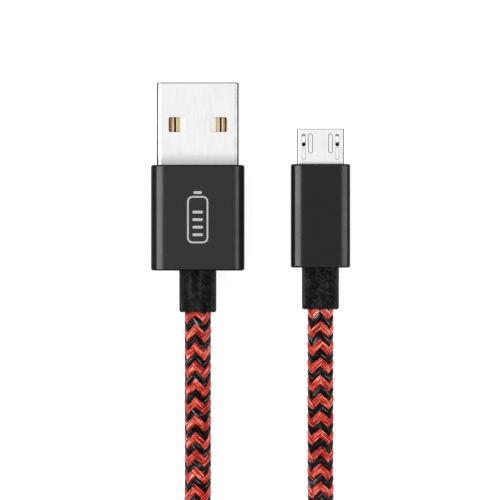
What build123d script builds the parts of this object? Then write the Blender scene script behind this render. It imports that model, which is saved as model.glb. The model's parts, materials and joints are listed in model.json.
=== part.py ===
"""Braided charging cable with a USB-A plug and a micro-USB plug, coiled into a tied hank.

Both plugs lie flat, side by side, pointing along +Y. The origin is under the middle of the two plugs.
Millimetres, +Z up, the table at z = 0.
"""
import os
from math import pi, radians, tan

from build123d import *

os.makedirs("parts", exist_ok=True)

# ---- driving dimensions ------------------------------------------------------------------------
CORD_D = 3.8            # braided cord
BOOT_LENGTH = 6.0       # strain relief that shows behind each housing
CLEARANCE = 0.05        # between pieces that slide or move past each other

# USB-A plug: standard 12.0 x 4.5 mm shell
A_X, A_Z = -7.8, 3.9    # plug axis
A_TIP = 16.74           # front edge of the shell
A_SHELL_W, A_SHELL_H, A_SHELL_WALL = 12.0, 4.5, 0.3
A_SHELL_CORNER = 0.65
A_SHELL_LENGTH = 18.0
A_SHELL_SHOWS = 12.05
A_HOUSING_W, A_HOUSING_H, A_HOUSING_LENGTH = 13.67, 7.8, 15.43
A_HOUSING_CORNER = 1.9
A_BOOT_D = 5.16
A_WINDOW_W, A_WINDOW_LENGTH = 2.6, 2.2
A_WINDOW_SPACING, A_WINDOW_FROM_TIP = 6.05, 6.17

# micro-USB plug: standard 6.85 x 1.8 mm shell, wide side up
M_X, M_Z = 10.135, 3.05
M_TIP = 10.0
M_SHELL_W, M_SHELL_H, M_SHELL_WALL = 6.85, 1.8, 0.25
M_SHELL_TAPER = 0.75    # how far each lower corner is drawn in
M_SHELL_LENGTH = 11.5
M_SHELL_SHOWS = 5.16
M_HOUSING_W, M_HOUSING_H, M_HOUSING_LENGTH = 8.7, 6.1, 15.15
M_HOUSING_CORNER = 1.7
M_BOOT_D = 5.2
M_CONTACT_PITCH = 0.65

HOUSING_WALL = 0.8
HOUSING_CHAMFER = 0.2
WIRE_D = 0.6
WIRE_COLOURS = ["red", "white", "green", "black"]

# the part of the cord that is put away: a hank of eight strands, four on each side
STRAND_PITCH = 3.85
HANK_LOBE_R = 14.0      # middle of the turns in the end loops
HANK_NEAR_Y = -67.0     # centre of the end loop next to the plugs
HANK_LENGTH = 64.0      # between the centres of the two end loops
TIE_LENGTH, TIE_THICKNESS = 12.0, 1.0

# ---- derived places ----------------------------------------------------------------------------
A_FRONT = A_TIP - A_SHELL_SHOWS                 # housing's front face
A_REAR = A_FRONT - A_HOUSING_LENGTH
A_BOOT_END = A_REAR - BOOT_LENGTH
M_FRONT = M_TIP - M_SHELL_SHOWS
M_REAR = M_FRONT - M_HOUSING_LENGTH
M_BOOT_END = M_REAR - BOOT_LENGTH
CORD_R = CORD_D / 2


def facing_tip(x, z, y):
    """Section plane of a plug at distance y: local x to the right, local y up, extruding to the rear."""
    return Plane(origin=(x, y, z), x_dir=(1, 0, 0), z_dir=(0, -1, 0))


# ================================= USB-A plug ====================================================
# ---- shell: folded steel tube with two windows above and two below, seamed along its underside
SEAM = 0.1
with BuildPart() as usb_a_shell:
    with BuildSketch(facing_tip(A_X, A_Z, A_TIP)):
        RectangleRounded(A_SHELL_W, A_SHELL_H, A_SHELL_CORNER)
    extrude(amount=A_SHELL_LENGTH)
    fillet(usb_a_shell.faces().sort_by(Axis.Y)[-1].edges(), 0.18)
    with BuildSketch(facing_tip(A_X, A_Z, A_TIP)):
        RectangleRounded(A_SHELL_W - 2 * A_SHELL_WALL, A_SHELL_H - 2 * A_SHELL_WALL,
                         A_SHELL_CORNER - A_SHELL_WALL)
    extrude(amount=A_SHELL_LENGTH, mode=Mode.SUBTRACT)
    with BuildSketch(Plane.XY.offset(A_Z)):
        with Locations((A_X, A_TIP - A_WINDOW_FROM_TIP)):
            with GridLocations(A_WINDOW_SPACING, 0, 2, 1):
                RectangleRounded(A_WINDOW_W, A_WINDOW_LENGTH, 0.4)
    extrude(amount=A_SHELL_H, both=True, mode=Mode.SUBTRACT)
    with Locations((A_X, A_TIP - A_SHELL_LENGTH / 2, A_Z - A_SHELL_H / 2)):
        Box(SEAM, A_SHELL_LENGTH + 1, SEAM, mode=Mode.SUBTRACT)
usb_a_shell.part.label = "usb_a_shell"
export_step(usb_a_shell.part, "parts/usb_a_shell.step")

# ---- insulator: white tongue in the lower half of the shell, with a groove for each contact
A_TONGUE_TIP = A_TIP - 0.4
A_TONGUE_REAR = A_TIP - A_SHELL_LENGTH
A_TONGUE_W = A_SHELL_W - 2 * A_SHELL_WALL - 2 * CLEARANCE
A_TONGUE_TOP = A_Z - 0.05
A_TONGUE_BOTTOM = A_Z - A_SHELL_H / 2 + A_SHELL_WALL
A_SHELF_LENGTH = 1.6                            # tail shelf behind the shell
# name, place across the plug, width, how far the contact lies behind the tongue's tip
A_CONTACTS = [("power", -3.42, 1.6, 1.3), ("data_minus", -1.0, 1.1, 2.3),
              ("data_plus", 1.0, 1.1, 2.3), ("ground", 3.42, 1.6, 1.3)]
A_CONTACT_T = 0.25
A_CONTACT_PROUD = 0.1
with BuildPart() as usb_a_insulator:
    with BuildSketch(Plane.XY.offset(A_TONGUE_BOTTOM)):
        with Locations((A_X, (A_TONGUE_TIP + A_TONGUE_REAR) / 2)):
            Rectangle(A_TONGUE_W, A_TONGUE_TIP - A_TONGUE_REAR)
        with Locations((A_X, A_TONGUE_REAR - A_SHELF_LENGTH / 2)):
            Rectangle(A_TONGUE_W - 1.4, A_SHELF_LENGTH)
    extrude(amount=A_TONGUE_TOP - A_TONGUE_BOTTOM)
    tongue_corners = usb_a_insulator.edges().filter_by(Axis.Y).group_by(Axis.Z)[0].group_by(Axis.X)
    fillet(tongue_corners[0] + tongue_corners[-1], 0.45)
    chamfer(usb_a_insulator.faces().sort_by(Axis.Y)[-1].edges().group_by(Axis.Z)[-1], 0.4)
    for name, offset_x, width, setback in A_CONTACTS:
        groove_tip = A_TONGUE_TIP - setback
        groove_length = groove_tip - A_TONGUE_REAR + A_SHELF_LENGTH
        with Locations((A_X + offset_x, groove_tip - groove_length / 2, A_TONGUE_TOP)):
            Box(width, groove_length, 2 * (A_CONTACT_T - A_CONTACT_PROUD), mode=Mode.SUBTRACT)
usb_a_insulator.part.label = "usb_a_insulator"
export_step(usb_a_insulator.part, "parts/usb_a_insulator.step")

# ---- contacts: gold-plated strips let into the tongue, each with a crease along it
CREASE = 0.2
for name, offset_x, width, setback in A_CONTACTS:
    outward = 1 if offset_x > 0 else -1
    with BuildPart() as usb_a_contact:
        strip_tip = A_TONGUE_TIP - setback
        strip_rear = A_TONGUE_REAR - A_SHELF_LENGTH
        floor = A_TONGUE_TOP - (A_CONTACT_T - A_CONTACT_PROUD)
        with Locations((A_X + offset_x, (strip_tip + strip_rear) / 2, floor + A_CONTACT_T / 2)):
            Box(width, strip_tip - strip_rear, A_CONTACT_T)
        chamfer(usb_a_contact.faces().sort_by(Axis.Y)[-1].edges().group_by(Axis.Z)[-1], 0.12)
        crease_x = A_X + offset_x + outward * 0.1 * width
        crease_length = A_SHELL_SHOWS
        with Locations((crease_x, strip_tip - crease_length / 2, floor + A_CONTACT_T)):
            Box(CREASE, crease_length, CREASE, mode=Mode.SUBTRACT)
    usb_a_contact.part.label = f"usb_a_contact_{name}"
    export_step(usb_a_contact.part, f"parts/usb_a_contact_{name}.step")

# ---- housing: anodised aluminium tube, closed behind but for the boot's hole
with BuildPart() as usb_a_housing:
    with BuildSketch(facing_tip(A_X, A_Z, A_FRONT)):
        RectangleRounded(A_HOUSING_W, A_HOUSING_H, A_HOUSING_CORNER)
    extrude(amount=A_HOUSING_LENGTH)
    ends = usb_a_housing.faces().filter_by(Axis.Y)
    chamfer(ends.edges(), HOUSING_CHAMFER)
    with BuildSketch(facing_tip(A_X, A_Z, A_FRONT)):
        RectangleRounded(A_HOUSING_W - 2 * HOUSING_WALL, A_HOUSING_H - 2 * HOUSING_WALL,
                         A_HOUSING_CORNER - HOUSING_WALL)
    extrude(amount=A_HOUSING_LENGTH - HOUSING_WALL, mode=Mode.SUBTRACT)
    with BuildSketch(facing_tip(A_X, A_Z, A_REAR + HOUSING_WALL)):
        Circle(A_BOOT_D / 2)
    extrude(amount=HOUSING_WALL, mode=Mode.SUBTRACT)
usb_a_housing.part.label = "usb_a_housing"
export_step(usb_a_housing.part, "parts/usb_a_housing.step")

# ---- inner mould: fills the housing round the shell, with a chamber for the wires
A_CHAMBER_REAR = A_TONGUE_REAR - 5.4
A_MOULD_REAR = A_CHAMBER_REAR - 1.0
with BuildPart() as usb_a_inner_mould:
    with BuildSketch(facing_tip(A_X, A_Z, A_FRONT - HOUSING_CHAMFER)):
        RectangleRounded(A_HOUSING_W - 2 * HOUSING_WALL, A_HOUSING_H - 2 * HOUSING_WALL,
                         A_HOUSING_CORNER - HOUSING_WALL)
    extrude(amount=A_FRONT - HOUSING_CHAMFER - A_MOULD_REAR)
    with BuildSketch(facing_tip(A_X, A_Z, A_FRONT)):
        RectangleRounded(A_SHELL_W, A_SHELL_H, A_SHELL_CORNER)
    extrude(amount=A_FRONT - A_TONGUE_REAR, mode=Mode.SUBTRACT)
    with BuildSketch(facing_tip(A_X, A_Z, A_FRONT)):
        RectangleRounded(A_SHELL_W - 2 * A_SHELL_WALL, A_SHELL_H - 2 * A_SHELL_WALL,
                         A_SHELL_CORNER - A_SHELL_WALL)
    extrude(amount=A_FRONT - A_CHAMBER_REAR, mode=Mode.SUBTRACT)
    with BuildSketch(facing_tip(A_X, A_Z, A_FRONT)):
        Circle(CORD_R)
    extrude(amount=A_FRONT - A_MOULD_REAR, mode=Mode.SUBTRACT)
usb_a_inner_mould.part.label = "usb_a_inner_mould"
export_step(usb_a_inner_mould.part, "parts/usb_a_inner_mould.step")

# ---- boot: flexible sleeve with a flange held behind the housing's rear wall
FLANGE_LENGTH = 1.2
FLANGE_CORNER = 1.0
BOOT_END_ROUND = 0.5
with BuildPart() as usb_a_boot:
    with BuildSketch(facing_tip(A_X, A_Z, A_REAR + HOUSING_WALL)):
        Circle(A_BOOT_D / 2)
    extrude(amount=HOUSING_WALL + BOOT_LENGTH)
    fillet(usb_a_boot.faces().sort_by(Axis.Y)[0].edges(), BOOT_END_ROUND)
    with BuildSketch(facing_tip(A_X, A_Z, A_REAR + HOUSING_WALL + FLANGE_LENGTH)):
        RectangleRounded(9.0, 5.6, FLANGE_CORNER)
    extrude(amount=FLANGE_LENGTH)
    with BuildSketch(facing_tip(A_X, A_Z, A_FRONT)):
        Circle(CORD_R)
    extrude(amount=A_FRONT - A_BOOT_END, mode=Mode.SUBTRACT)
usb_a_boot.part.label = "usb_a_boot"
export_step(usb_a_boot.part, "parts/usb_a_boot.step")

# ---- cord end: the jacketed end of the cord inside the boot and the mould
with BuildPart() as usb_a_cord_end:
    with BuildSketch(facing_tip(A_X, A_Z, A_CHAMBER_REAR)):
        Circle(CORD_R)
    extrude(amount=A_CHAMBER_REAR - A_BOOT_END)
usb_a_cord_end.part.label = "usb_a_cord_end"
export_step(usb_a_cord_end.part, "parts/usb_a_cord_end.step")

# ---- ferrule: crimped ring on the cord, between the mould and the boot's flange
with BuildPart() as usb_a_ferrule:
    with BuildSketch(facing_tip(A_X, A_Z, A_MOULD_REAR)):
        Circle(CORD_R + 0.35)
        Circle(CORD_R, mode=Mode.SUBTRACT)
    extrude(amount=A_MOULD_REAR - (A_REAR + HOUSING_WALL + FLANGE_LENGTH))
usb_a_ferrule.part.label = "usb_a_ferrule"
export_step(usb_a_ferrule.part, "parts/usb_a_ferrule.step")

# ---- wires: from the cord's end to the contacts' tails, and a solder joint in front of each
SOLDER_LENGTH = 0.7
A_WIRE_Z = A_TONGUE_TOP + A_CONTACT_PROUD + WIRE_D / 2
A_WIRE_TIP = A_TONGUE_REAR - A_SHELF_LENGTH + 0.7
WIRE_BEND = 0.6
for rank, colour in enumerate(WIRE_COLOURS):
    start_x = A_X + (rank - 1.5) * 0.8
    tail_x = A_X + A_CONTACTS[rank][1]
    with BuildPart() as usb_a_wire:
        with BuildLine() as wire_path:
            FilletPolyline((start_x, A_CHAMBER_REAR, A_Z), (start_x, A_CHAMBER_REAR + 0.8, A_Z),
                           (tail_x, A_WIRE_TIP - 0.9, A_WIRE_Z), (tail_x, A_WIRE_TIP, A_WIRE_Z),
                           radius=WIRE_BEND)
        with BuildSketch(Plane(origin=wire_path.wire() @ 0, z_dir=wire_path.wire() % 0)):
            Circle(WIRE_D / 2)
        sweep()
    usb_a_wire.part.label = f"usb_a_wire_{colour}"
    export_step(usb_a_wire.part, f"parts/usb_a_wire_{colour}.step")

with BuildPart() as usb_a_solder:
    for name, offset_x, width, setback in A_CONTACTS:
        with Locations((A_X + offset_x, A_WIRE_TIP + SOLDER_LENGTH / 2, A_WIRE_Z - WIRE_D / 2 + 0.2)):
            Box(0.9, SOLDER_LENGTH, 0.4)
    chamfer(usb_a_solder.faces().sort_by(Axis.Z)[-4:].edges(), 0.12)
usb_a_solder.part.label = "usb_a_solder"
export_step(usb_a_solder.part, "parts/usb_a_solder.step")

# ================================= micro-USB plug ================================================
M_TOP = M_Z + M_SHELL_H / 2
M_BOTTOM = M_Z - M_SHELL_H / 2
M_SHELL_REAR = M_TIP - M_SHELL_LENGTH
M_INNER_TOP = M_TOP - M_SHELL_WALL
M_INNER_FLOOR = M_BOTTOM + M_SHELL_WALL


def trapezoid(inset):
    """Corners of the plug's section, drawn in by inset all round: wide above, narrow below."""
    half = M_SHELL_W / 2 - inset
    top = M_SHELL_H / 2 - inset
    slope = M_SHELL_TAPER
    lean = inset * 0.4
    return [(-half, top), (half, top), (half, -0.15), (half - slope + lean, -top),
            (-half + slope - lean, -top), (-half, -0.15)]


# ---- shell: folded steel, two slots for the latches, two pressed grooves and two ribs on its top
LATCH_X = 2.45          # from the plug's axis
SLOT_W, SLOT_LENGTH, SLOT_FRONT = 0.56, 1.8, M_TIP - 0.77
PRESSED_X, PRESSED_W, PRESSED_LENGTH, PRESSED_FRONT = 1.47, 0.66, 2.9, M_TIP - 0.7
PRESSED_DEPTH, PRESSED_DRAFT = 0.09, 42
RIB_LENGTH = 1.85       # each rib runs on behind its slot
RIB_FRONT = SLOT_FRONT - SLOT_LENGTH - 0.1
RIB_RISE, RIB_DRAFT = 0.07, 35
with BuildPart() as micro_b_shell:
    with BuildSketch(facing_tip(M_X, M_Z, M_TIP)):
        with BuildLine():
            Polyline(*trapezoid(0), close=True)
        make_face()
    extrude(amount=M_SHELL_LENGTH)
    fillet(micro_b_shell.edges().filter_by(Axis.Y), 0.3)
    fillet(micro_b_shell.faces().sort_by(Axis.Y)[-1].edges(), 0.12)
    with BuildSketch(facing_tip(M_X, M_Z, M_TIP)):
        with BuildLine():
            Polyline(*trapezoid(M_SHELL_WALL), close=True)
        make_face()
    extrude(amount=M_SHELL_LENGTH, mode=Mode.SUBTRACT)
    with BuildSketch(Plane.XY.offset(M_Z)):
        with Locations((M_X, SLOT_FRONT - SLOT_LENGTH / 2)):
            with GridLocations(2 * LATCH_X, 0, 2, 1):
                SlotOverall(SLOT_LENGTH, SLOT_W, rotation=90)
    extrude(amount=M_SHELL_H, mode=Mode.SUBTRACT)
    with BuildSketch(Plane.XY.offset(M_TOP)):
        with Locations((M_X, PRESSED_FRONT - PRESSED_LENGTH / 2)):
            with GridLocations(2 * PRESSED_X, 0, 2, 1):
                SlotOverall(PRESSED_LENGTH, PRESSED_W, rotation=90)
    extrude(amount=-PRESSED_DEPTH, taper=PRESSED_DRAFT, mode=Mode.SUBTRACT)
    with BuildSketch(Plane.XY.offset(M_TOP)):
        with Locations((M_X, RIB_FRONT - RIB_LENGTH / 2)):
            with GridLocations(2 * LATCH_X, 0, 2, 1):
                SlotOverall(RIB_LENGTH, SLOT_W, rotation=90)
    extrude(amount=RIB_RISE, taper=RIB_DRAFT)
micro_b_shell.part.label = "micro_b_shell"
export_step(micro_b_shell.part, "parts/micro_b_shell.step")

# ---- insulator: thin tongue with a groove for each contact, and the block behind it
M_TONGUE_TIP = M_TIP - 0.5
M_TONGUE_W = 4.8
M_TONGUE_TOP = M_INNER_FLOOR + 0.55
M_BLOCK_FRONT = M_FRONT - 1.4
M_SHELF_LENGTH = 1.6
M_CONTACT_W, M_CONTACT_T = 0.3, 0.15
M_CONTACT_BOTTOM = M_TONGUE_TOP - 0.08
M_CONTACT_X = [M_X + (rank - 2) * M_CONTACT_PITCH for rank in range(5)]
M_TAIL_REAR = M_SHELL_REAR - M_SHELF_LENGTH
GROOVE_W, GROOVE_DEPTH = 0.42, 0.3
LATCH_W, LATCH_T = 0.42, 0.2
LATCH_TOP = M_INNER_TOP - 0.02
LATCH_ROOT_REAR = M_SHELL_REAR + 2.0
with BuildPart() as micro_b_insulator:
    with BuildSketch(facing_tip(M_X, M_Z, M_BLOCK_FRONT)):
        with BuildLine():
            Polyline(*trapezoid(M_SHELL_WALL), close=True)
        make_face()
    extrude(amount=M_BLOCK_FRONT - M_SHELL_REAR)
    with BuildSketch(Plane.XY.offset(M_INNER_FLOOR)):
        with Locations((M_X, (M_TONGUE_TIP + M_TAIL_REAR) / 2)):
            Rectangle(M_TONGUE_W, M_TONGUE_TIP - M_TAIL_REAR)
    extrude(amount=M_TONGUE_TOP - M_INNER_FLOOR)
    for contact_x in M_CONTACT_X:
        with Locations((contact_x, (M_TONGUE_TIP + M_BLOCK_FRONT) / 2, M_TONGUE_TOP)):
            Box(GROOVE_W, M_TONGUE_TIP - M_BLOCK_FRONT, 2 * GROOVE_DEPTH, mode=Mode.SUBTRACT)
        with Locations((contact_x, (M_BLOCK_FRONT + M_TAIL_REAR) / 2, M_CONTACT_BOTTOM + M_CONTACT_T / 2)):
            Box(M_CONTACT_W, M_BLOCK_FRONT - M_TAIL_REAR, M_CONTACT_T, mode=Mode.SUBTRACT)
    with BuildSketch(Plane.XY.offset(LATCH_TOP - LATCH_T)):
        with Locations((M_X, (M_BLOCK_FRONT + LATCH_ROOT_REAR) / 2)):
            Rectangle(2 * LATCH_X + LATCH_W, M_BLOCK_FRONT - LATCH_ROOT_REAR)
        with Locations((M_X, (M_BLOCK_FRONT + LATCH_ROOT_REAR + 0.6) / 2)):
            Rectangle(2 * LATCH_X - LATCH_W, M_BLOCK_FRONT - LATCH_ROOT_REAR - 0.6, mode=Mode.SUBTRACT)
    extrude(amount=LATCH_T, mode=Mode.SUBTRACT)
micro_b_insulator.part.label = "micro_b_insulator"
export_step(micro_b_insulator.part, "parts/micro_b_insulator.step")

# ---- contacts: five sprung beams on the tongue, and their tails fixed in the block
HINGE_GAP = 0.1
BEAM_ROOT = M_BLOCK_FRONT + HINGE_GAP
BEAM_TIP = M_TONGUE_TIP - 0.45
for rank, contact_x in enumerate(M_CONTACT_X):
    with BuildPart() as micro_b_contact:
        low, high = M_CONTACT_BOTTOM, M_CONTACT_BOTTOM + M_CONTACT_T
        with BuildSketch(Plane.YZ.offset(contact_x - M_CONTACT_W / 2)):
            with BuildLine():
                Polyline((BEAM_ROOT, low), (BEAM_TIP - 1.5, low), (BEAM_TIP - 1.0, low + 0.13),
                         (BEAM_TIP - 0.6, low + 0.13), (BEAM_TIP, low), (BEAM_TIP, high - 0.02),
                         (BEAM_TIP - 0.5, high + 0.13), (BEAM_TIP - 1.1, high + 0.13),
                         (BEAM_TIP - 1.6, high), (BEAM_ROOT, high), close=True)
            make_face()
        extrude(amount=M_CONTACT_W)
    micro_b_contact.part.label = f"micro_b_contact_{rank + 1}"
    export_step(micro_b_contact.part, f"parts/micro_b_contact_{rank + 1}.step")

with BuildPart() as micro_b_contact_tails:
    for contact_x in M_CONTACT_X:
        with Locations((contact_x, (M_BLOCK_FRONT + M_TAIL_REAR) / 2, M_CONTACT_BOTTOM + M_CONTACT_T / 2)):
            Box(M_CONTACT_W, M_BLOCK_FRONT - M_TAIL_REAR, M_CONTACT_T)
micro_b_contact_tails.part.label = "micro_b_contact_tails"
export_step(micro_b_contact_tails.part, "parts/micro_b_contact_tails.step")

# ---- latches: two sprung arms under the shell's top whose hooks stand up through the slots
HOOK_RISE = 0.3
HOOK_FRONT, HOOK_REAR = SLOT_FRONT - 0.13, SLOT_FRONT - 1.33
for side, place in [("left", -1), ("right", 1)]:
    with BuildPart() as micro_b_latch:
        with BuildSketch(Plane.YZ.offset(M_X + place * LATCH_X - LATCH_W / 2)):
            with BuildLine():
                Polyline((BEAM_ROOT, LATCH_TOP - LATCH_T), (HOOK_FRONT, LATCH_TOP - LATCH_T),
                         (HOOK_FRONT, M_TOP - 0.05), (HOOK_FRONT - 0.3, M_TOP + HOOK_RISE),
                         (HOOK_REAR + 0.1, M_TOP + HOOK_RISE), (HOOK_REAR, LATCH_TOP),
                         (BEAM_ROOT, LATCH_TOP), close=True)
            make_face()
        extrude(amount=LATCH_W)
        hook_top = micro_b_latch.faces().filter_by(Axis.Z).sort_by(Axis.Z)[-1]
        fillet(hook_top.edges(), 0.08)
    micro_b_latch.part.label = f"micro_b_latch_{side}"
    export_step(micro_b_latch.part, f"parts/micro_b_latch_{side}.step")

# ---- latch root: the cross bar that joins both arms, held in the insulator's block
with BuildPart() as micro_b_latch_root:
    with BuildSketch(Plane.XY.offset(LATCH_TOP - LATCH_T)):
        with Locations((M_X, (M_BLOCK_FRONT + LATCH_ROOT_REAR) / 2)):
            Rectangle(2 * LATCH_X + LATCH_W, M_BLOCK_FRONT - LATCH_ROOT_REAR)
        with Locations((M_X, (M_BLOCK_FRONT + LATCH_ROOT_REAR + 0.6) / 2)):
            Rectangle(2 * LATCH_X - LATCH_W, M_BLOCK_FRONT - LATCH_ROOT_REAR - 0.6, mode=Mode.SUBTRACT)
    extrude(amount=LATCH_T)
micro_b_latch_root.part.label = "micro_b_latch_root"
export_step(micro_b_latch_root.part, "parts/micro_b_latch_root.step")

# ---- housing: as the USB-A plug's, smaller
with BuildPart() as micro_b_housing:
    with BuildSketch(facing_tip(M_X, M_Z, M_FRONT)):
        RectangleRounded(M_HOUSING_W, M_HOUSING_H, M_HOUSING_CORNER)
    extrude(amount=M_HOUSING_LENGTH)
    fillet(micro_b_housing.faces().filter_by(Axis.Y).edges(), 0.28)
    with BuildSketch(facing_tip(M_X, M_Z, M_FRONT)):
        RectangleRounded(M_HOUSING_W - 2 * HOUSING_WALL, M_HOUSING_H - 2 * HOUSING_WALL,
                         M_HOUSING_CORNER - HOUSING_WALL)
    extrude(amount=M_HOUSING_LENGTH - HOUSING_WALL, mode=Mode.SUBTRACT)
    with BuildSketch(facing_tip(M_X, M_Z, M_REAR + HOUSING_WALL)):
        Circle(M_BOOT_D / 2)
    extrude(amount=HOUSING_WALL, mode=Mode.SUBTRACT)
micro_b_housing.part.label = "micro_b_housing"
export_step(micro_b_housing.part, "parts/micro_b_housing.step")

# ---- inner mould
M_CHAMBER_REAR = M_SHELL_REAR - 4.8
M_MOULD_REAR = M_CHAMBER_REAR - 1.0
with BuildPart() as micro_b_inner_mould:
    with BuildSketch(facing_tip(M_X, M_Z, M_FRONT - HOUSING_CHAMFER)):
        RectangleRounded(M_HOUSING_W - 2 * HOUSING_WALL, M_HOUSING_H - 2 * HOUSING_WALL,
                         M_HOUSING_CORNER - HOUSING_WALL)
    extrude(amount=M_FRONT - HOUSING_CHAMFER - M_MOULD_REAR)
    with BuildSketch(facing_tip(M_X, M_Z, M_FRONT)):
        with BuildLine():
            Polyline(*trapezoid(0), close=True)
        make_face()
    extrude(amount=M_FRONT - M_SHELL_REAR, mode=Mode.SUBTRACT)
    with BuildSketch(facing_tip(M_X, M_Z, M_SHELL_REAR)):
        RectangleRounded(5.4, 2.4, 0.4)
    extrude(amount=M_SHELL_REAR - M_CHAMBER_REAR, mode=Mode.SUBTRACT)
    with BuildSketch(facing_tip(M_X, M_Z, M_CHAMBER_REAR)):
        Circle(CORD_R)
    extrude(amount=M_CHAMBER_REAR - M_MOULD_REAR, mode=Mode.SUBTRACT)
micro_b_inner_mould.part.label = "micro_b_inner_mould"
export_step(micro_b_inner_mould.part, "parts/micro_b_inner_mould.step")

# ---- boot
with BuildPart() as micro_b_boot:
    with BuildSketch(facing_tip(M_X, M_Z, M_REAR + HOUSING_WALL)):
        Circle(M_BOOT_D / 2)
    extrude(amount=HOUSING_WALL + BOOT_LENGTH)
    fillet(micro_b_boot.faces().sort_by(Axis.Y)[0].edges(), BOOT_END_ROUND)
    with BuildSketch(facing_tip(M_X, M_Z, M_REAR + HOUSING_WALL + FLANGE_LENGTH)):
        RectangleRounded(7.0, 4.3, FLANGE_CORNER)
    extrude(amount=FLANGE_LENGTH)
    with BuildSketch(facing_tip(M_X, M_Z, M_FRONT)):
        Circle(CORD_R)
    extrude(amount=M_FRONT - M_BOOT_END, mode=Mode.SUBTRACT)
micro_b_boot.part.label = "micro_b_boot"
export_step(micro_b_boot.part, "parts/micro_b_boot.step")

# ---- cord end and ferrule
with BuildPart() as micro_b_cord_end:
    with BuildSketch(facing_tip(M_X, M_Z, M_CHAMBER_REAR)):
        Circle(CORD_R)
    extrude(amount=M_CHAMBER_REAR - M_BOOT_END)
micro_b_cord_end.part.label = "micro_b_cord_end"
export_step(micro_b_cord_end.part, "parts/micro_b_cord_end.step")

with BuildPart() as micro_b_ferrule:
    with BuildSketch(facing_tip(M_X, M_Z, M_MOULD_REAR)):
        Circle(CORD_R + 0.3)
        Circle(CORD_R, mode=Mode.SUBTRACT)
    extrude(amount=M_MOULD_REAR - (M_REAR + HOUSING_WALL + FLANGE_LENGTH))
micro_b_ferrule.part.label = "micro_b_ferrule"
export_step(micro_b_ferrule.part, "parts/micro_b_ferrule.step")

# ---- wires and solder: the fourth contact stays unwired
M_WIRED = [0, 1, 2, 4]
M_TAIL_TOP = M_CONTACT_BOTTOM + M_CONTACT_T
M_WIRE_TIP = M_TAIL_REAR + 0.7
for rank, colour in enumerate(WIRE_COLOURS):
    start_x = M_X + (rank - 1.5) * 0.8
    tail_x = M_CONTACT_X[M_WIRED[rank]]
    with BuildPart() as micro_b_wire:
        with BuildLine() as wire_path:
            FilletPolyline((start_x, M_CHAMBER_REAR, M_Z), (start_x, M_CHAMBER_REAR + 0.8, M_Z),
                           (tail_x, M_WIRE_TIP - 0.8, M_TAIL_TOP + WIRE_D / 2),
                           (tail_x, M_WIRE_TIP, M_TAIL_TOP + WIRE_D / 2), radius=WIRE_BEND)
        with BuildSketch(Plane(origin=wire_path.wire() @ 0, z_dir=wire_path.wire() % 0)):
            Circle(WIRE_D / 2)
        sweep()
    micro_b_wire.part.label = f"micro_b_wire_{colour}"
    export_step(micro_b_wire.part, f"parts/micro_b_wire_{colour}.step")

with BuildPart() as micro_b_solder:
    for rank in M_WIRED:
        with Locations((M_CONTACT_X[rank], M_WIRE_TIP + SOLDER_LENGTH / 2, M_TAIL_TOP + 0.15)):
            Box(0.4, SOLDER_LENGTH, 0.3)
micro_b_solder.part.label = "micro_b_solder"
export_step(micro_b_solder.part, "parts/micro_b_solder.step")

# ================================= cord ==========================================================
HANK_FRONT_Y = -46.0    # where the leads meet the hank
HANK_X = (A_X + M_X) / 2
HANK_FAR_Y = HANK_NEAR_Y - HANK_LENGTH
LEADS = {
    "cord_lead_a": [(A_X, A_BOOT_END, A_Z), (A_X, -25.0, A_Z), (A_X, -36.5, CORD_R),
                    (A_X, HANK_FRONT_Y, CORD_R)],
    "cord_lead_b": [(M_X, M_BOOT_END, M_Z), (M_X, -24.5, M_Z), (M_X, -35.5, CORD_R),
                    (M_X, HANK_FRONT_Y, CORD_R)],
}


def bend_radii(route):
    """One radius for each corner of a route: as large as its two runs allow."""
    points = [Vector(*point) for point in route]
    radii = []
    for before, corner, after in zip(points, points[1:], points[2:]):
        turn = (corner - before).get_angle(after - corner)
        shorter = min((corner - before).length, (after - corner).length)
        radii.append(0.45 * shorter / tan(radians(turn / 2)))
    return radii


# ---- leads: from each boot down to the table and straight on to the hank
for lead_name, route in LEADS.items():
    radii = bend_radii(route)
    with BuildPart() as cord_lead:
        with BuildLine() as lead_path:
            FilletPolyline(*route, radius=radii)
        with BuildSketch(Plane(origin=lead_path.wire() @ 0, z_dir=lead_path.wire() % 0)):
            Circle(CORD_R)
        sweep()
    cord_lead.part.label = lead_name
    export_step(cord_lead.part, f"parts/{lead_name}.step")
    section = pi * CORD_R ** 2
    print(lead_name, "radii", [round(radius) for radius in radii], "volume", round(cord_lead.part.volume),
          "section times length", round(section * lead_path.wire().length))

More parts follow.
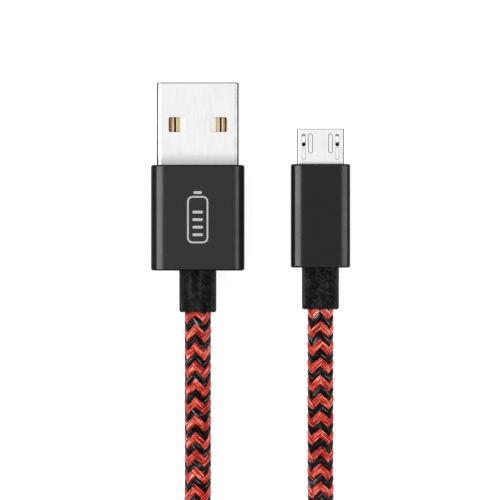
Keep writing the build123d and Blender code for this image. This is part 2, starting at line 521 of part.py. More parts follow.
# ---- hank: outer shape of the folded cord, two end loops and a waist drawn in by the tie
LAYERS_H = CORD_D + STRAND_PITCH                 # two strands high
LOBE_R = HANK_LOBE_R + STRAND_PITCH / 2 + CORD_R
WAIST_W = 1.5 * STRAND_PITCH + CORD_R            # half the width of four strands side by side
WAIST_LIFT = TIE_THICKNESS                       # the strands rise over the tie at the waist
HANK_MIDDLE_Y = (HANK_NEAR_Y + HANK_FAR_Y) / 2
reach = HANK_LENGTH / 2
WAIST_R = (WAIST_W ** 2 + reach ** 2 - LOBE_R ** 2) / (2 * (LOBE_R - WAIST_W))
meet = LOBE_R / (LOBE_R + WAIST_R)               # where a lobe's arc meets a waist's arc
meet_x = (WAIST_W + WAIST_R) * meet
meet_y = reach * (1 - meet)
with BuildPart() as cord_hank:
    with BuildSketch():
        with BuildLine(Plane((HANK_X, HANK_MIDDLE_Y, 0))):
            ThreePointArc((-meet_x, meet_y), (0, reach + LOBE_R), (meet_x, meet_y))
            ThreePointArc((meet_x, meet_y), (WAIST_W, 0), (meet_x, -meet_y))
            ThreePointArc((meet_x, -meet_y), (0, -reach - LOBE_R), (-meet_x, -meet_y))
            ThreePointArc((-meet_x, -meet_y), (-WAIST_W, 0), (-meet_x, meet_y))
        make_face()
        with Locations((HANK_X, HANK_FRONT_Y - 10)):
            Rectangle(M_X - A_X + CORD_D, 20)
    extrude(amount=LAYERS_H)
    fillet(cord_hank.faces().sort_by(Axis.Z)[-1].edges(), 1.2)
    with Locations((HANK_X, HANK_MIDDLE_Y, (LAYERS_H + WAIST_LIFT) / 2)):
        Box(2 * WAIST_W, TIE_LENGTH + 4, LAYERS_H + WAIST_LIFT)
    with Locations((HANK_X, HANK_MIDDLE_Y, WAIST_LIFT / 2)):
        Box(4 * WAIST_W, TIE_LENGTH, WAIST_LIFT, mode=Mode.SUBTRACT)
    with Locations((HANK_X - WAIST_W - 2, HANK_MIDDLE_Y), (HANK_X + WAIST_W + 2, HANK_MIDDLE_Y)):
        Box(4, TIE_LENGTH, 4 * LAYERS_H, mode=Mode.SUBTRACT)
cord_hank.part.label = "cord_hank"
export_step(cord_hank.part, "parts/cord_hank.step")

# ---- tie: strap closed round the waist, its free end lapped over the top
LAP_WIDTH, LAP_STEP, LAP_CORNER = 11.5, 0.4, 1.5
with BuildPart() as hank_tie:
    strap_inside = LAYERS_H                     # over the strands, which stand WAIST_LIFT above the table
    with BuildSketch(facing_tip(HANK_X, WAIST_LIFT + strap_inside / 2, HANK_MIDDLE_Y + TIE_LENGTH / 2)):
        Rectangle(2 * (WAIST_W + TIE_THICKNESS), strap_inside + 2 * TIE_THICKNESS)
        Rectangle(2 * WAIST_W, strap_inside, mode=Mode.SUBTRACT)
    extrude(amount=TIE_LENGTH)
    fillet(hank_tie.edges().filter_by(Axis.Y).group_by(Axis.X)[0], 0.9)
    fillet(hank_tie.edges().filter_by(Axis.Y).group_by(Axis.X)[-1], 0.9)
    strap_side = HANK_X + WAIST_W + TIE_THICKNESS
    with BuildSketch(Plane.XY.offset(WAIST_LIFT + strap_inside + TIE_THICKNESS)):
        with Locations((strap_side - LAP_WIDTH / 2, HANK_MIDDLE_Y)):
            Rectangle(LAP_WIDTH, TIE_LENGTH)
        with Locations((strap_side - LAP_WIDTH, HANK_MIDDLE_Y)):
            RectangleRounded(LAP_WIDTH, TIE_LENGTH, LAP_CORNER, mode=Mode.SUBTRACT)
    extrude(amount=-LAP_STEP, mode=Mode.SUBTRACT)
hank_tie.part.label = "hank_tie"
export_step(hank_tie.part, "parts/hank_tie.step")
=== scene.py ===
"""Braided charging cable: a USB-A plug and a micro-USB plug on a red and black cord, seen from above."""
import json
from math import cos, hypot, pi, radians, sin, sqrt

import bpy
import numpy as np
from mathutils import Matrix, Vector


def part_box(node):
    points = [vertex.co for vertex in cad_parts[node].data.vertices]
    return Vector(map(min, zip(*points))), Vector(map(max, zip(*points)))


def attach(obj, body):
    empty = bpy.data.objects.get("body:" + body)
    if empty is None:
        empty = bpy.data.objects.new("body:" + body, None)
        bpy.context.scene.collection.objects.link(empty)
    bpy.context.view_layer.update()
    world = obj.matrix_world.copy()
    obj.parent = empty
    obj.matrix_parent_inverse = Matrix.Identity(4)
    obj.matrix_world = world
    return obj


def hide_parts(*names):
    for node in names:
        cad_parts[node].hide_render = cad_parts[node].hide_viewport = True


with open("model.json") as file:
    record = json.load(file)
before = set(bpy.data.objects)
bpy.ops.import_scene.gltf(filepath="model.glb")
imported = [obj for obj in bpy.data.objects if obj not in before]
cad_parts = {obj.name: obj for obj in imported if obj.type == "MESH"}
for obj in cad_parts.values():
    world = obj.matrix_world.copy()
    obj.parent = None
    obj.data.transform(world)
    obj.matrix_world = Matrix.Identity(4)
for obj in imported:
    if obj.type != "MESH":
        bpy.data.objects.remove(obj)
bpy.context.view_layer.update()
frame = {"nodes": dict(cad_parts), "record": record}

MM = 0.001
nodes = frame["nodes"]

# ---- cord ------------------------------------------------------------------------------------------
# Sizes here are in metres. The plugs' axes and the leads' points are in millimetres.
CORD_D = 3.8 * MM
CORD_R = CORD_D / 2
RUN_PITCH = 3.85 * MM           # between neighbouring runs of the hank
HANK_LOBE_R = 14.0 * MM         # middle of the turns in the end loops
HANK_NEAR_Y = -67.0 * MM        # where the runs start, on the plugs' side
HANK_LENGTH = 64.0 * MM         # of the runs, from loop to loop
HANK_TURNS = 4
RUN_STEPS = 10                  # how many steps a run is drawn in
LOOP_STEPS = 12                 # the same for half a turn in an end loop
LEAD_STEPS = 5                  # the same for the stretch between a lead and the hank
TIE_RISE = 1.0 * MM             # how far the runs rise over the tie
TIE_RISE_REACH = 20 * MM        # where that rise starts, from the tie's middle
A_X, B_X = -7.8, 10.135         # the axes of the USB-A and the micro-USB plug
LEAD_A = [(A_X, -16.74, 3.9), (A_X, -25.0, 3.9), (A_X, -36.5, 1.9), (A_X, -46.0, 1.9)]
LEAD_B = [(B_X, -16.31, 3.05), (B_X, -24.5, 3.05), (B_X, -35.5, 1.9), (B_X, -46.0, 1.9)]


def ease(t):
    """0 to 1 with level ends."""
    return t * t * (3 - 2 * t)


def hank_points():
    """The folded cord from one lead to the other: four turns, so eight runs, four on each side.

    The four runs of a side stand at the corners of a square, which turns a quarter in each far loop.
    """
    middle_x = (A_X + B_X) / 2 * MM
    half_gap = (B_X - A_X) / 2 * MM
    far_y = HANK_NEAR_Y - HANK_LENGTH
    middle_y = (HANK_NEAR_Y + far_y) / 2
    corner = RUN_PITCH / sqrt(2)
    outer = HANK_LOBE_R + RUN_PITCH / 2

    def place(quarter):
        """Offset outward from the middle of a side's four runs, and height, after some quarter turns."""
        angle = radians(-45 - 90 * quarter)
        middle_z = CORD_R + corner * cos(radians(45 - 90 * (quarter % 1)))
        return corner * cos(angle), middle_z + corner * sin(angle)

    def along_side(side, quarter, towards_far):
        """A run through the waist, where the tie draws the two sides together."""
        offset, height = place(quarter)
        draw_in = (HANK_LOBE_R - RUN_PITCH) / 2
        points = []
        for step in range(RUN_STEPS + 1):
            t = step / RUN_STEPS if towards_far else 1 - step / RUN_STEPS
            y = HANK_NEAR_Y + (far_y - HANK_NEAR_Y) * t
            phase = 2 * pi * (y - middle_y) / HANK_LENGTH
            bundle = HANK_LOBE_R - draw_in * (1 + cos(phase))
            lean = draw_in * sin(phase) * 2 * pi / HANK_LENGTH
            lift = TIE_RISE * ease(max(0.0, 1 - abs(y - middle_y) / TIE_RISE_REACH))
            points.append((middle_x + side * (bundle + offset / hypot(1, lean)),
                           y - offset * lean / hypot(1, lean), height + lift))
        return points

    def loop(centre_y, start, quarter, quarters_turned):
        """Half a turn at one end of the hank, anticlockwise from the angle start."""
        points = []
        for step in range(1, LOOP_STEPS):
            t = step / LOOP_STEPS
            offset, height = place(quarter + quarters_turned * ease(t))
            angle = start + pi * t
            reach = HANK_LOBE_R + offset
            points.append((middle_x + reach * cos(angle), centre_y + reach * sin(angle), height))
        return points

    def lead_in(side):
        """From the lead's straight stretch out to the side of the hank, along the table."""
        start_y = LEAD_A[-1][1] * MM
        points = []
        for step in range(1, LEAD_STEPS):
            t = step / LEAD_STEPS
            points.append((middle_x + side * (half_gap + (outer - half_gap) * ease(t)),
                           start_y + (HANK_NEAR_Y - start_y) * t, CORD_R))
        return points

    points = lead_in(-1)
    for turn in range(HANK_TURNS):
        points += along_side(-1, turn, True)
        points += loop(far_y, pi, turn, 1)
        points += along_side(1, turn + 1, False)
        if turn < HANK_TURNS - 1:
            points += loop(HANK_NEAR_Y, 0, turn + 1, 0)
    return points + lead_in(1)[::-1]


def metres(points):
    return [tuple(value * MM for value in point) for point in points]


def link(obj):
    bpy.context.collection.objects.link(obj)
    return obj


def nurbs(name, points):
    """One smooth open spline with these control points."""
    curve = bpy.data.curves.new(name, "CURVE")
    curve.dimensions = "3D"
    spline = curve.splines.new("NURBS")
    spline.points.add(len(points) - 1)
    for control, point in zip(spline.points, points):
        control.co = (*point, 1)
    spline.order_u = 3
    spline.use_endpoint_u = True
    curve.resolution_u = 12
    return link(bpy.data.objects.new(name, curve))


# ---- materials -------------------------------------------------------------------------------------
class Nodes:
    """Short calls that add nodes to a tree and join them."""

    def __init__(self, tree):
        self.tree = tree

    def plug(self, value, socket):
        """Links a socket to an output, or sets it to a constant."""
        if isinstance(value, bpy.types.NodeSocket):
            self.tree.links.new(value, socket)
        else:
            socket.default_value = value

    def node(self, kind, output=0, settings=None, **inputs):
        """Adds a node, sets its properties and inputs (i0 is the first input), and returns an output."""
        node = self.tree.nodes.new(kind)
        for name, value in (settings or {}).items():
            setattr(node, name, value)
        for name, value in inputs.items():
            key = int(name[1:]) if name[1:].isdigit() else name.replace("_", " ")
            self.plug(value, node.inputs[key])
        return node.outputs[output]

    def math(self, operation, first, second=0.0):
        return self.node("ShaderNodeMath", settings={"operation": operation}, i0=first, i1=second)

    def axis(self, letter, vector):
        return self.node("ShaderNodeSeparateXYZ", output=letter, Vector=vector)

    def place(self, scale=(1000, 1000, 1000)):
        """The surface point in the object's own frame, in millimetres unless scaled otherwise."""
        point = self.node("ShaderNodeTexCoord", output="Object")
        return self.node("ShaderNodeMapping", Vector=point, Scale=scale)

    def strand_place(self, scale):
        """The surface point on its strand, scaled: across it, along it, and the strand's own number."""
        values = self.node("ShaderNodeAttribute", output="Vector", settings={"attribute_name": "strand"})
        return self.node("ShaderNodeMapping", Vector=values, Scale=scale)

    def level(self):
        """How level the surface lies in the object's own frame: 0 for a wall, 1 for a top."""
        return self.math("ABSOLUTE", self.axis("Z", self.node("ShaderNodeTexCoord", output="Normal")))

    def noise(self, vector, scale, detail=2.0, roughness=0.5):
        return self.node("ShaderNodeTexNoise", Vector=vector, Scale=scale, Detail=detail, Roughness=roughness)

    def ramp(self, factor, *stops):
        """Colour by factor: stops are (place, (r, g, b)) or (place, grey)."""
        node = self.tree.nodes.new("ShaderNodeValToRGB")
        elements = node.color_ramp.elements
        while len(elements) < len(stops):
            elements.new(0.5)
        for element, (place, value) in zip(elements, stops):
            element.position = place
            element.color = (*value, 1) if isinstance(value, tuple) else (value, value, value, 1)
        self.plug(factor, node.inputs["Fac"])
        return node.outputs["Color"]

    def between(self, factor, start, end, low, high, interpolation="LINEAR"):
        """Maps start..end to low..high, and stays at low or high outside it."""
        return self.node("ShaderNodeMapRange", settings={"interpolation_type": interpolation},
                         i0=factor, i1=start, i2=end, i3=low, i4=high)

    def spread(self, factor, low, high):
        """Maps 0.3..0.7, where noise mostly lies, to low..high."""
        return self.between(factor, 0.3, 0.7, low, high)


class Material(Nodes):
    """A procedural material: nodes round a principled shader."""

    def __init__(self, name, colour, roughness, metallic=0.0, **sockets):
        self.material = bpy.data.materials.new(name)
        self.material.use_nodes = True
        super().__init__(self.material.node_tree)
        self.shader = self.tree.nodes["Principled BSDF"]
        self.set(Base_Color=(*colour, 1), Roughness=roughness, Metallic=metallic, **sockets)

    def set(self, **sockets):
        """Sets or links the shader's sockets."""
        for name, value in sockets.items():
            self.plug(value, self.shader.inputs[name.replace("_", " ")])
        return self

    def bump(self, height, distance, strength=1.0):
        """Bump whose height is the given distance where the height is 1."""
        self.set(Normal=self.node("ShaderNodeBump", Height=height, Distance=distance, Strength=strength))
        return self


TOP_FROM = 0.97                 # the level from which a surface counts as the flat top


def anodised(name, top_gloss, rim_from, rim_to):
    """Black anodised aluminium: a fine blasted grain and slightly uneven gloss, dull round the rims.

    Walls are dull up to the level rim_from, the bend is glossy from rim_to on, and the flat top has
    top_gloss.
    """
    made = Material(name, (0.008, 0.008, 0.0085), 0.40, Specular_IOR_Level=0.34)
    point = made.place()
    grain = made.noise(point, 9.0, 3.0)
    broad = made.noise(point, 0.25, 2.0)
    made.set(Base_Color=made.ramp(grain, (0.35, (0.006, 0.006, 0.0065)), (0.65, (0.011, 0.011, 0.012))))
    made.set(Roughness=made.math("ADD", made.spread(grain, 0.20, 0.27), made.spread(broad, -0.02, 0.02)))
    made.set(Specular_IOR_Level=made.ramp(made.level(), (rim_from, 0.03), (rim_to, 0.42),
                                          (TOP_FROM, 0.42), (1.0, top_gloss)))
    return made.bump(grain, 0.006 * MM).material


def plated(name, housing_shade_from, housing_shade_to, rim_from, rim_to, rim_shade):
    """Nickel-plated steel: satin, with very faint lengthwise rolling marks, and painted shade where it is
    bent.

    Between housing_shade_from and housing_shade_to, places along Y in millimetres, a painted shade near the
    housing fades out to full brightness.
    Round the rims a painted shade keeps it dark up to the level rim_from, and from rim_to on it has rim_shade
    of its brightness.
    """
    made = Material(name, (0.93, 0.93, 0.93), 0.22, 1.0)
    marks = made.noise(made.place((9000, 500, 9000)), 1.0, 3.0)
    cloud = made.noise(made.place(), 0.4, 2.0)
    steel = made.ramp(marks, (0.3, (0.89, 0.89, 0.895)), (0.7, (0.945, 0.945, 0.945)))
    # painted shade: walls and bends go dark by how level the surface lies
    painted_wall_shade = made.ramp(made.level(), (rim_from, 0.09), (rim_to, rim_shade), (TOP_FROM, rim_shade + 0.04),
                     (0.995, 1.0))
    # painted shade: darker near the housing
    root = made.between(made.axis("Y", made.place()), housing_shade_from, housing_shade_to, 0.55, 1.0, "SMOOTHSTEP")
    made.set(Base_Color=made.node("ShaderNodeVectorMath", settings={"operation": "SCALE"}, i0=steel,
                                  Scale=made.math("MULTIPLY", painted_wall_shade, root)))
    made.set(Roughness=made.math("ADD", made.spread(marks, 0.17, 0.25), made.spread(cloud, -0.02, 0.02)))
    return made.bump(marks, 0.002 * MM).material


def metal(name, dark, light, roughness, grain):
    """Bare or gold-plated strip with fine drawing lines."""
    made = Material(name, light, roughness, 1.0)
    marks = made.noise(made.place((8000, 600, 8000)), grain, 3.0)
    made.set(Base_Color=made.ramp(marks, (0.3, dark), (0.7, light)))
    made.set(Roughness=made.spread(marks, roughness - 0.05, roughness + 0.08))
    return made.bump(marks, 0.003 * MM).material


def latch_steel(name):
    """Spring steel, with a painted shadow where the arm lies behind its hook and painted shade on its walls.
    """
    made = Material(name, (0.9, 0.9, 0.9), 0.25, 1.0)
    # painted shadow: the arm goes nearly black behind its hook
    painted_gap_shadow = made.between(made.axis("Y", made.place()), 7.86, 7.93, 0.004, 0.93)
    # painted shade: the walls go dark by how level the surface lies
    painted_wall_shade = made.between(made.level(), 0.40, 0.60, 0.05, 1.0)
    marks = made.noise(made.place((3000, 300, 3000)), 1.0, 2.0)
    shade = made.math("MULTIPLY", made.math("MULTIPLY", painted_gap_shadow, painted_wall_shade), made.spread(marks, 0.94, 1.0))
    made.set(Base_Color=made.node("ShaderNodeCombineXYZ", X=shade, Y=shade, Z=shade))
    return made.set(Roughness=made.spread(marks, 0.2, 0.32)).material


def painted_fold_gold(name):
    """Gold-plated strip with painted folds: bands of painted highlight and painted shade by distance from the
    plug's axis, where folds along it would catch light and shade.
    """
    made = Material(name, (0.9, 0.62, 0.28), 0.25, 1.0)
    outward = made.math("ABSOLUTE", made.math("SUBTRACT", made.axis("X", made.place()), A_X))
    ripple = made.noise(made.place((3000, 90, 3000)), 1.0, 2.0)
    wander = made.math("ADD", outward, made.spread(ripple, -0.05, 0.05))
    # painted highlights and painted shade: the folds' light and dark bands across the strip
    fold_light_and_shade = made.between(wander, 2.6, 4.24, 0.0, 1.0)
    colour = made.ramp(fold_light_and_shade, (0.00, (0.85, 0.62, 0.32)), (0.08, (0.50, 0.32, 0.12)),
                       (0.15, (0.90, 0.68, 0.34)), (0.22, (0.50, 0.32, 0.12)), (0.30, (1.0, 0.93, 0.74)),
                       (0.36, (0.02, 0.008, 0.004)), (0.51, (0.03, 0.012, 0.006)), (0.57, (1.0, 0.90, 0.70)),
                       (0.66, (0.75, 0.45, 0.25)), (0.80, (0.50, 0.25, 0.11)), (0.90, (0.04, 0.015, 0.008)),
                       (1.00, (0.15, 0.06, 0.02)))
    made.set(Base_Color=colour, Roughness=made.spread(ripple, 0.2, 0.34))
    return made.bump(ripple, 0.004 * MM).material


def plastic(name, dark, light, roughness, painted_glow=0.0):
    """Moulded plastic with a faint spark-eroded grain; its glow is painted light, which keeps the plastic
    bright where it lies in shade.
    """
    made = Material(name, light, roughness, Emission_Color=(*light, 1), Emission_Strength=painted_glow)
    point = made.place()
    fine = made.noise(point, 6.0, 3.0)
    broad = made.noise(point, 0.3, 2.0)
    made.set(Base_Color=made.ramp(broad, (0.3, dark), (0.7, light)))
    made.set(Roughness=made.spread(fine, roughness - 0.05, roughness + 0.07))
    return made.bump(fine, 0.004 * MM).material


def yarn(name, stops, roughness, gloss, lengthwise_patches=False):
    """Nylon yarn: bright and dark filaments that run along the strand, after the attribute "strand"; the
    brightest are painted highlights, glints that the ramp's top stops put on the filaments.

    Its patches can run lengthwise over all its strands, with lengthwise_patches.
    """
    made = Material(name, stops[-1][1], roughness, Specular_IOR_Level=gloss)
    filaments = made.noise(made.strand_place((7.5, 0.7 if lengthwise_patches else 0.45, 5)), 1.0, 4.0, 0.65)
    patches = made.noise(made.place((1100, 130, 1100)) if lengthwise_patches else made.strand_place((2.0, 0.9, 9)), 1.0, 2.0)
    mixed = made.math("ADD", made.math("MULTIPLY", filaments, 0.72), made.math("MULTIPLY", patches, 0.28))
    made.set(Base_Color=made.ramp(mixed, *stops))
    made.set(Roughness=made.spread(filaments, roughness - 0.10, roughness + 0.12))
    return made.bump(filaments, 0.025 * MM, 0.9).material


def woven_tie(name):
    """Hook-and-loop strap: short dense pile."""
    made = Material(name, (0.012, 0.012, 0.012), 0.9, Sheen_Weight=0.35, Sheen_Roughness=0.4)
    pile = made.noise(made.place(), 5.0, 4.0, 0.7)
    made.set(Base_Color=made.ramp(pile, (0.35, (0.005, 0.005, 0.005)), (0.7, (0.03, 0.03, 0.032))))
    return made.bump(pile, 0.12 * MM).material


SLOT_MATERIALS = {
    "plated_shell": plated("plated_shell", 4.4, 6.9, 0.79, 0.90, 0.42),
    "gold_contact": metal("gold_contact", (0.55, 0.31, 0.10), (0.90, 0.62, 0.28), 0.24, 1.0),
    "spring_steel": metal("spring_steel", (0.78, 0.78, 0.78), (0.93, 0.93, 0.93), 0.20, 1.0),
    # painted light: the insulator glows so that it stays white in the shade inside the shell's windows
    "white_plastic": plastic("white_plastic", (0.86, 0.86, 0.85), (0.92, 0.92, 0.91), 0.45, painted_glow=0.50),
    "black_plastic": plastic("black_plastic", (0.006, 0.006, 0.006), (0.014, 0.014, 0.014), 0.5),
    "anodised_black": anodised("anodised_black", 0.385, 0.80, 0.88),
    "boot_sleeve": plastic("boot_core", (0.004, 0.004, 0.004), (0.010, 0.010, 0.010), 0.6),
    "ferrule_brass": metal("ferrule_brass", (0.50, 0.34, 0.12), (0.78, 0.60, 0.28), 0.35, 0.8),
    "solder": metal("solder", (0.55, 0.55, 0.57), (0.80, 0.80, 0.82), 0.30, 0.5),
    "wire_red": plastic("wire_red", (0.50, 0.02, 0.015), (0.62, 0.03, 0.02), 0.35),
    "wire_white": plastic("wire_white", (0.75, 0.75, 0.72), (0.85, 0.85, 0.82), 0.35),
    "wire_green": plastic("wire_green", (0.02, 0.28, 0.06), (0.03, 0.36, 0.08), 0.35),
    "wire_black": plastic("wire_black", (0.008, 0.008, 0.008), (0.015, 0.015, 0.015), 0.35),
    "tie_strap": woven_tie("tie_strap"),
}
# nodes whose material differs from their slot's
NODE_MATERIALS = {
    "micro_b_shell": plated("plated_micro_shell", 4.6, 5.4, 0.90, 0.965, 0.90),
    "micro_b_housing": anodised("anodised_micro", 0.235, 0.64, 0.74),
    **dict.fromkeys(["micro_b_latch_left", "micro_b_latch_right"], latch_steel("latch_steel")),
    **dict.fromkeys(["usb_a_contact_power", "usb_a_contact_ground"], painted_fold_gold("painted_fold_gold")),
}
JACKET = plastic("cord_jacket", (0.004, 0.003, 0.003), (0.010, 0.006, 0.006), 0.7)
# The top stops of the red and black ramps are painted highlights: glints on the filaments.
RED_YARN = yarn("red_yarn", [(0.39, (0.03, 0.001, 0.001)), (0.45, (0.32, 0.007, 0.004)),
                             (0.51, (0.72, 0.026, 0.013)), (0.555, (0.98, 0.12, 0.055)),
                             (0.605, (1.0, 0.66, 0.52))], 0.30, 0.18)
BLACK_YARN = yarn("black_yarn", [(0.50, (0.001, 0.001, 0.0012)), (0.56, (0.010, 0.010, 0.011)),
                                 (0.60, (0.14, 0.14, 0.15)), (0.64, (0.65, 0.65, 0.68))], 0.30, 0.07)
SLEEVE_YARN = yarn("sleeve_yarn", [(0.42, (0.0003, 0.0003, 0.0003)), (0.50, (0.005, 0.005, 0.0053)),
                                   (0.58, (0.052, 0.052, 0.055))], 0.38, 0.08, lengthwise_patches=True)

# red_black_braid has no entry above: the strands below carry it. The cord's two ends inside the housings
# have that slot too, and keep the colour that the frame gives them.
for entry in frame["record"]["subparts"]:
    slot = entry["material_slot"]
    if slot in SLOT_MATERIALS:
        mesh = nodes[entry["node"]].data
        mesh.materials.clear()
        mesh.materials.append(NODE_MATERIALS.get(entry["node"], SLOT_MATERIALS[slot]))


# ---- braid -----------------------------------------------------------------------------------------
CARRIERS = 8                    # strands each way
LAY_WANTED = 10.48 * MM         # one full turn of a strand
JACKET_R = 1.40 * MM            # of the core under the strands
STRAND_R = 1.595                # from the cord's middle to a strand's, in millimetres
STRAND_LIFT = 0.14              # how far a strand goes over and under, in millimetres
STRANDS = {"red": (RED_YARN, 1.06, 0.165), "black": (BLACK_YARN, 0.94, 0.145)}  # yarn, width, thickness
LEAD_SEEN = 34 * MM             # the stretch at each end with fine steps and no added twist
COLUMN_AT = 0.0                 # where right-hand strands lie on top, round from the top of the USB-A lead
LAST_COLUMN_AT = radians(-25)   # the same on the micro-USB lead
FIRST_BLACK = 1.42 * MM         # where a black strand first crosses that column, from the USB-A boot
LAST_BLACK = 1.80 * MM          # the same, from the micro-USB boot
FIRST_DROP = 0.10 * MM          # how much further from the USB-A boot a left-hand strand lies
LAST_DROP = 0.42 * MM           # the same, from the micro-USB boot
YARN_STEP = 1.1 * MM            # how far apart a yarn's course and a strand's width change
SLEEVE_R = 2.60 * MM            # middle of the fine braid over a boot
SLEEVE_CARRIERS = 36            # its strands each way
SLEEVE_STATIONS = 90
SLEEVE_END_R = 0.35 * MM        # the last stretch, where it draws in round the boot's edge
SLEEVE_END_DROP = 0.25 * MM     # how far it draws in


def unit(vectors):
    return vectors / np.linalg.norm(vectors, axis=-1, keepdims=True)


def line_frames(points, stations, end_turn=None):
    """Place, direction, up and right at each station along a line, carried along it without twist.

    With end_turn, an even twist is added so that up ends end_turn radians round from the vertical.
    """
    steps = np.linalg.norm(np.diff(points, axis=0), axis=1)
    along = np.concatenate([[0], np.cumsum(steps)])
    place = np.stack([np.interp(stations, along, points[:, axis]) for axis in range(3)], axis=1)
    ahead = unit(np.gradient(place, stations, axis=0))
    up = np.zeros_like(ahead)
    up[0] = unit(np.array([0, 0, 1.0]) - ahead[0] * ahead[0][2])
    for index in range(1, len(ahead)):
        carried = up[index - 1] - ahead[index] * np.dot(up[index - 1], ahead[index])
        up[index] = carried / np.linalg.norm(carried)
    if end_turn is not None:
        right = np.cross(up[-1], ahead[-1])
        level_right = np.cross((0, 0, 1.0), ahead[-1])
        found = np.arctan2(np.dot(up[-1], level_right), up[-1][2])
        missing = (end_turn - found + pi) % (2 * pi) - pi
        share = np.clip((stations - LEAD_SEEN) / (stations[-1] - 2 * LEAD_SEEN), 0, 1)
        turn = (missing * share)[:, None]
        up = up * np.cos(turn) + np.cross(up, ahead) * np.sin(turn)
    return place, ahead, up, np.cross(up, ahead)


def strand_shape(frames, stations, angle, radius, width, thickness, tag, seed, yarns=4):
    """One flat strand of parallel yarns that winds round a line at the given angle and radius.

    Returns its vertices, its faces, and each vertex's place on the strand for strand_place.
    """
    place, ahead, up, right = frames
    out = up * np.cos(angle)[:, None] + right * np.sin(angle)[:, None]
    middle = place + out * radius[:, None]
    tangent = unit(np.gradient(middle, axis=0))
    across = unit(np.cross(tangent, out))
    normal = np.cross(across, tangent)
    draw = np.random.default_rng(seed)
    knots = np.linspace(0, len(stations) - 1, max(8, int((stations[-1] - stations[0]) / YARN_STEP)))

    def wander():
        """A slow random change along the strand."""
        return np.interp(np.arange(len(stations)), knots, draw.normal(0, 1, len(knots)))

    section = []                # across and height, each along the whole strand
    for index in range(2 * yarns + 1):
        u = -1 + index / yarns
        crown = sqrt(1 - (0.96 * u) ** 2)
        ridge = 0.30 if index % 2 else -0.05
        drift = wander()
        section.append((u + 0.035 * drift, thickness * (crown + ridge * crown + 0.07 * drift)))
    even = np.ones(len(stations))
    section += [(u * even, h * thickness * even) for u, h in ((0.8, -0.75), (0.0, -1.0), (-0.8, -0.75))]
    half = width / 2 * (1 + 0.03 * wander())
    rings = np.stack([middle + across * (u * half)[:, None] + normal * h[:, None] for u, h in section], axis=1)
    count, size = rings.shape[:2]
    first = np.arange(count - 1)[:, None] * size + np.arange(size)[None, :]
    after = np.arange(count - 1)[:, None] * size + (np.arange(size)[None, :] + 1) % size
    quads = np.stack([first, after, after + size, first + size], axis=-1).reshape(-1, 4)
    faces = quads.tolist() + [list(range(size))[::-1], list(range((count - 1) * size, count * size))]
    places = np.zeros((count, size, 3))
    places[:, :, 0] = np.stack([u * half / MM for u, h in section], axis=1)
    places[:, :, 1] = stations[:, None] / MM
    places[:, :, 2] = tag
    return rings.reshape(-1, 3), faces, places.reshape(-1)


def strand_mesh(name, vertices, faces, places, material):
    """A smooth mesh that carries each vertex's place on its strand in the attribute "strand"."""
    mesh = bpy.data.meshes.new(name)
    mesh.from_pydata(vertices.tolist(), [], faces)
    mesh.attributes.new("strand", "FLOAT_VECTOR", "POINT").data.foreach_set("vector", places)
    mesh.polygons.foreach_set("use_smooth", [True] * len(mesh.polygons))
    mesh.materials.append(material)
    return mesh


def crossing(angle, start, carriers):
    """1 where the strands that turn forwards lie on top, -1 where they lie below, in columns from start."""
    wave = np.cos(carriers / 2 * (angle - start) - pi / 4)
    return np.tanh(2.2 * wave) / np.tanh(2.2)


def braid(line, length):
    """The cord's strands, each a piece of its own: red and black in turn, as many each way."""
    colour_repeat = LAY_WANTED * 2 / CARRIERS
    between_blacks = length - FIRST_BLACK - LAST_BLACK
    lay = between_blacks / round(between_blacks / colour_repeat) * CARRIERS / 2
    fine, coarse = lay / 96, lay / 48
    ends = np.arange(0, LEAD_SEEN, fine)
    stations = np.concatenate([ends, np.arange(LEAD_SEEN, length - LEAD_SEEN, coarse), (length - ends)[::-1]])
    half_column = pi / (2 * CARRIERS)
    column_start = COLUMN_AT - half_column
    shift = FIRST_BLACK - lay * (half_column + 2 * pi / CARRIERS) / (2 * pi)
    frames = line_frames(line, stations, end_turn=LAST_COLUMN_AT)
    strands = []
    for way, sense in (("right", 1), ("left", -1)):
        drop = 0 if sense > 0 else FIRST_DROP - (FIRST_DROP + LAST_DROP) * stations / length
        wound = sense * 2 * pi * (stations - shift - drop) / lay
        for carrier in range(CARRIERS):
            material, width, thickness = STRANDS["black" if carrier % 2 else "red"]
            angle = column_start + 2 * pi * carrier / CARRIERS + wound
            lift = sense * crossing(angle, column_start, CARRIERS)
            shape = strand_shape(frames, stations, angle, (STRAND_R + STRAND_LIFT * lift) * MM, width * MM,
                                 thickness * MM, carrier + sense, seed=carrier + 20 * sense + 40)
            name = f"strand_{way}_{carrier + 1}"
            strand = link(bpy.data.objects.new(name, strand_mesh(name, *shape, material)))
            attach(strand, "root")
            strands.append(strand)
    return strands


def sleeve(name, boot):
    """Fine black braid over a boot."""
    low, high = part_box(boot)
    x, z = (low.x + high.x) / 2, (low.z + high.z) / 2
    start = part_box(boot.replace("boot", "housing"))[0].y
    stations = np.linspace(0, start - low.y, SLEEVE_STATIONS)
    frames = line_frames(np.array([(x, start, z), (x, low.y, z)]), stations)
    lay = 2 * pi * SLEEVE_R
    near_end = np.clip((stations[-1] - stations) / SLEEVE_END_R, 0, 1)
    draw_in = SLEEVE_END_DROP * (1 - np.sqrt(1 - (1 - near_end) ** 2))
    vertices, faces, places, base = [], [], [], 0
    for sense in (1, -1):
        for carrier in range(SLEEVE_CARRIERS):
            angle = 2 * pi * carrier / SLEEVE_CARRIERS + sense * 2 * pi * stations / lay
            lift = sense * crossing(angle, 0, SLEEVE_CARRIERS)
            shape = strand_shape(frames, stations, angle, SLEEVE_R - draw_in + 0.05 * lift * MM, 0.30 * MM,
                                 0.06 * MM, carrier, seed=carrier, yarns=2)
            vertices.append(shape[0])
            faces += [[base + index for index in face] for face in shape[1]]
            places.append(shape[2])
            base += len(shape[0])
    mesh = strand_mesh(name, np.concatenate(vertices), faces, np.concatenate(places), SLEEVE_YARN)
    obj = link(bpy.data.objects.new(name, mesh))
    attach(obj, "root")


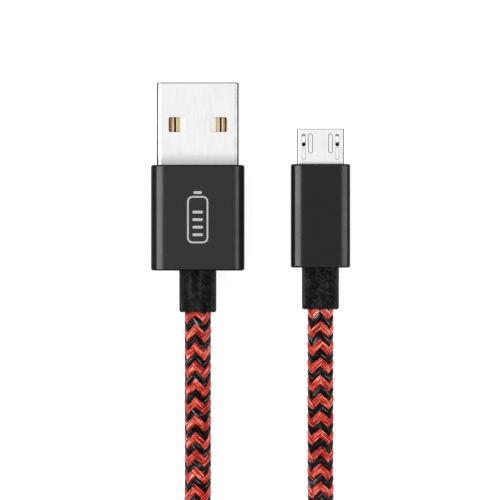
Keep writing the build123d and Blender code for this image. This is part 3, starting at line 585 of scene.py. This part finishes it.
route = metres(LEAD_A) + hank_points() + metres(LEAD_B)[::-1]
jacket = nurbs("cord_jacket", route)
line_mesh = bpy.data.meshes.new_from_object(jacket)
line = np.array([vertex.co for vertex in line_mesh.vertices])
cord_length = float(np.linalg.norm(np.diff(line, axis=0), axis=1).sum())
jacket.data.bevel_depth = JACKET_R
jacket.data.materials.append(JACKET)
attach(jacket, "root")
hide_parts("cord_lead_a", "cord_hank", "cord_lead_b")
strands = braid(line, cord_length)
sleeve("usb_a_sleeve", "usb_a_boot")
sleeve("micro_b_sleeve", "micro_b_boot")


# ---- mark ------------------------------------------------------------------------------------------
# In millimetres. Each shape is its width, its height, its corners' radius and its middle's Y.
MARK_CENTRE = (A_X, -2.85)
MARK_RISE = 0.012               # how far the print stands above the housing
CASE_OUTSIDE = (3.1, 6.9, 0.8, -0.45)
CASE_INSIDE = (2.6, 6.4, 0.55, -0.45)
TERMINAL = (1.2, 0.4, 0.12, 3.5)
LEVEL_BARS = [(1.5, 0.4, 0.12, -2.65 + 1.1 * step) for step in range(4)]


def outline(width, height, corner, centre_y):
    """A rounded rectangle's corners, anticlockwise."""
    points = []
    for quarter, (side_x, side_y) in enumerate([(1, 1), (-1, 1), (-1, -1), (1, -1)]):
        for step in range(5):
            angle = pi / 2 * (quarter + step / 4)
            points.append((side_x * (width / 2 - corner) + corner * cos(angle),
                           centre_y + side_y * (height / 2 - corner) + corner * sin(angle)))
    return points


def charge_mark(name, top):
    """A plain battery pictogram, printed on the housing: a case, its terminal and four level bars."""
    vertices, faces = [], []

    def add(points):
        base = len(vertices)
        vertices.extend((MARK_CENTRE[0] + x, MARK_CENTRE[1] + y, top) for x, y in points)
        return base

    case = outline(*CASE_OUTSIDE)
    outer, inner = add(case), add(outline(*CASE_INSIDE))
    for index in range(len(case)):
        after = (index + 1) % len(case)
        faces.append((outer + index, outer + after, inner + after, inner + index))
    for bar in [TERMINAL] + LEVEL_BARS:
        points = outline(*bar)
        base = add(points)
        faces.append(tuple(range(base, base + len(points))))
    mesh = bpy.data.meshes.new(name)
    mesh.from_pydata(metres(vertices), [], faces)
    ink = Material("mark_ink", (0.55, 0.55, 0.55), 0.5)
    speckle = ink.noise(ink.place(), 7.0, 3.0)
    ink.set(Base_Color=ink.ramp(speckle, (0.3, 0.48), (0.7, 0.62)), Roughness=ink.spread(speckle, 0.4, 0.6))
    mesh.materials.append(ink.material)
    mark = link(bpy.data.objects.new(name, mesh))
    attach(mark, "root")


charge_mark("usb_a_mark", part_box("usb_a_housing")[1].z / MM + MARK_RISE)


# ---- floor, light and camera -----------------------------------------------------------------------
VIEW_WIDTH = 73.1 * MM          # what the picture is wide at the plugs
VIEW_CENTRE = (-0.17 * MM, -7.73 * MM)
PLUG_HEIGHT = 4 * MM            # where that width was measured
CAMERA_HEIGHT = 1.5
SENSOR_WIDTH = 36
camera_data = bpy.data.cameras.new("camera")
camera_data.sensor_width = SENSOR_WIDTH
camera_data.lens = SENSOR_WIDTH * (CAMERA_HEIGHT - PLUG_HEIGHT) / VIEW_WIDTH
camera_data.clip_end = 100
camera = link(bpy.data.objects.new("camera", camera_data))
camera.location = (*VIEW_CENTRE, CAMERA_HEIGHT)
bpy.context.scene.camera = camera

bpy.ops.mesh.primitive_plane_add(size=6)
floor = bpy.context.object
floor.name = "floor"
paper = Material("paper", (0.5, 0.5, 0.5), 0.9)
fleck = paper.noise(paper.place(), 2.0)
paper.set(Base_Color=paper.ramp(fleck, (0.3, 0.49), (0.7, 0.51)))
paper.set(Emission_Color=(1, 1, 1, 1), Emission_Strength=0.80)
floor.data.materials.append(paper.material)


def area_light(name, place, size, power):
    """A soft box at a place, turned towards the origin."""
    data = bpy.data.lights.new(name, "AREA")
    data.shape = "RECTANGLE"
    data.size, data.size_y = size
    data.energy = power
    light = link(bpy.data.objects.new(name, data))
    light.location = place
    light.rotation_euler = (-Vector(place)).to_track_quat("-Z", "Y").to_euler()


area_light("left", (-0.5, 0.0, 0.42), (0.07, 0.9), 2.2)
area_light("right", (0.5, 0.0, 0.13), (0.07, 0.9), 0.9)

world = bpy.data.worlds.new("studio")
world.use_nodes = True
sky = Nodes(world.node_tree)
height = sky.axis("Z", sky.node("ShaderNodeTexCoord", output="Generated"))
sky.plug(sky.ramp(height, (0.0, 0.30), (0.55, 0.34), (0.86, 0.86), (1.0, 0.925)),
         world.node_tree.nodes["Background"].inputs["Color"])
bpy.context.scene.world = world
bpy.context.scene.view_settings.view_transform = "Standard"
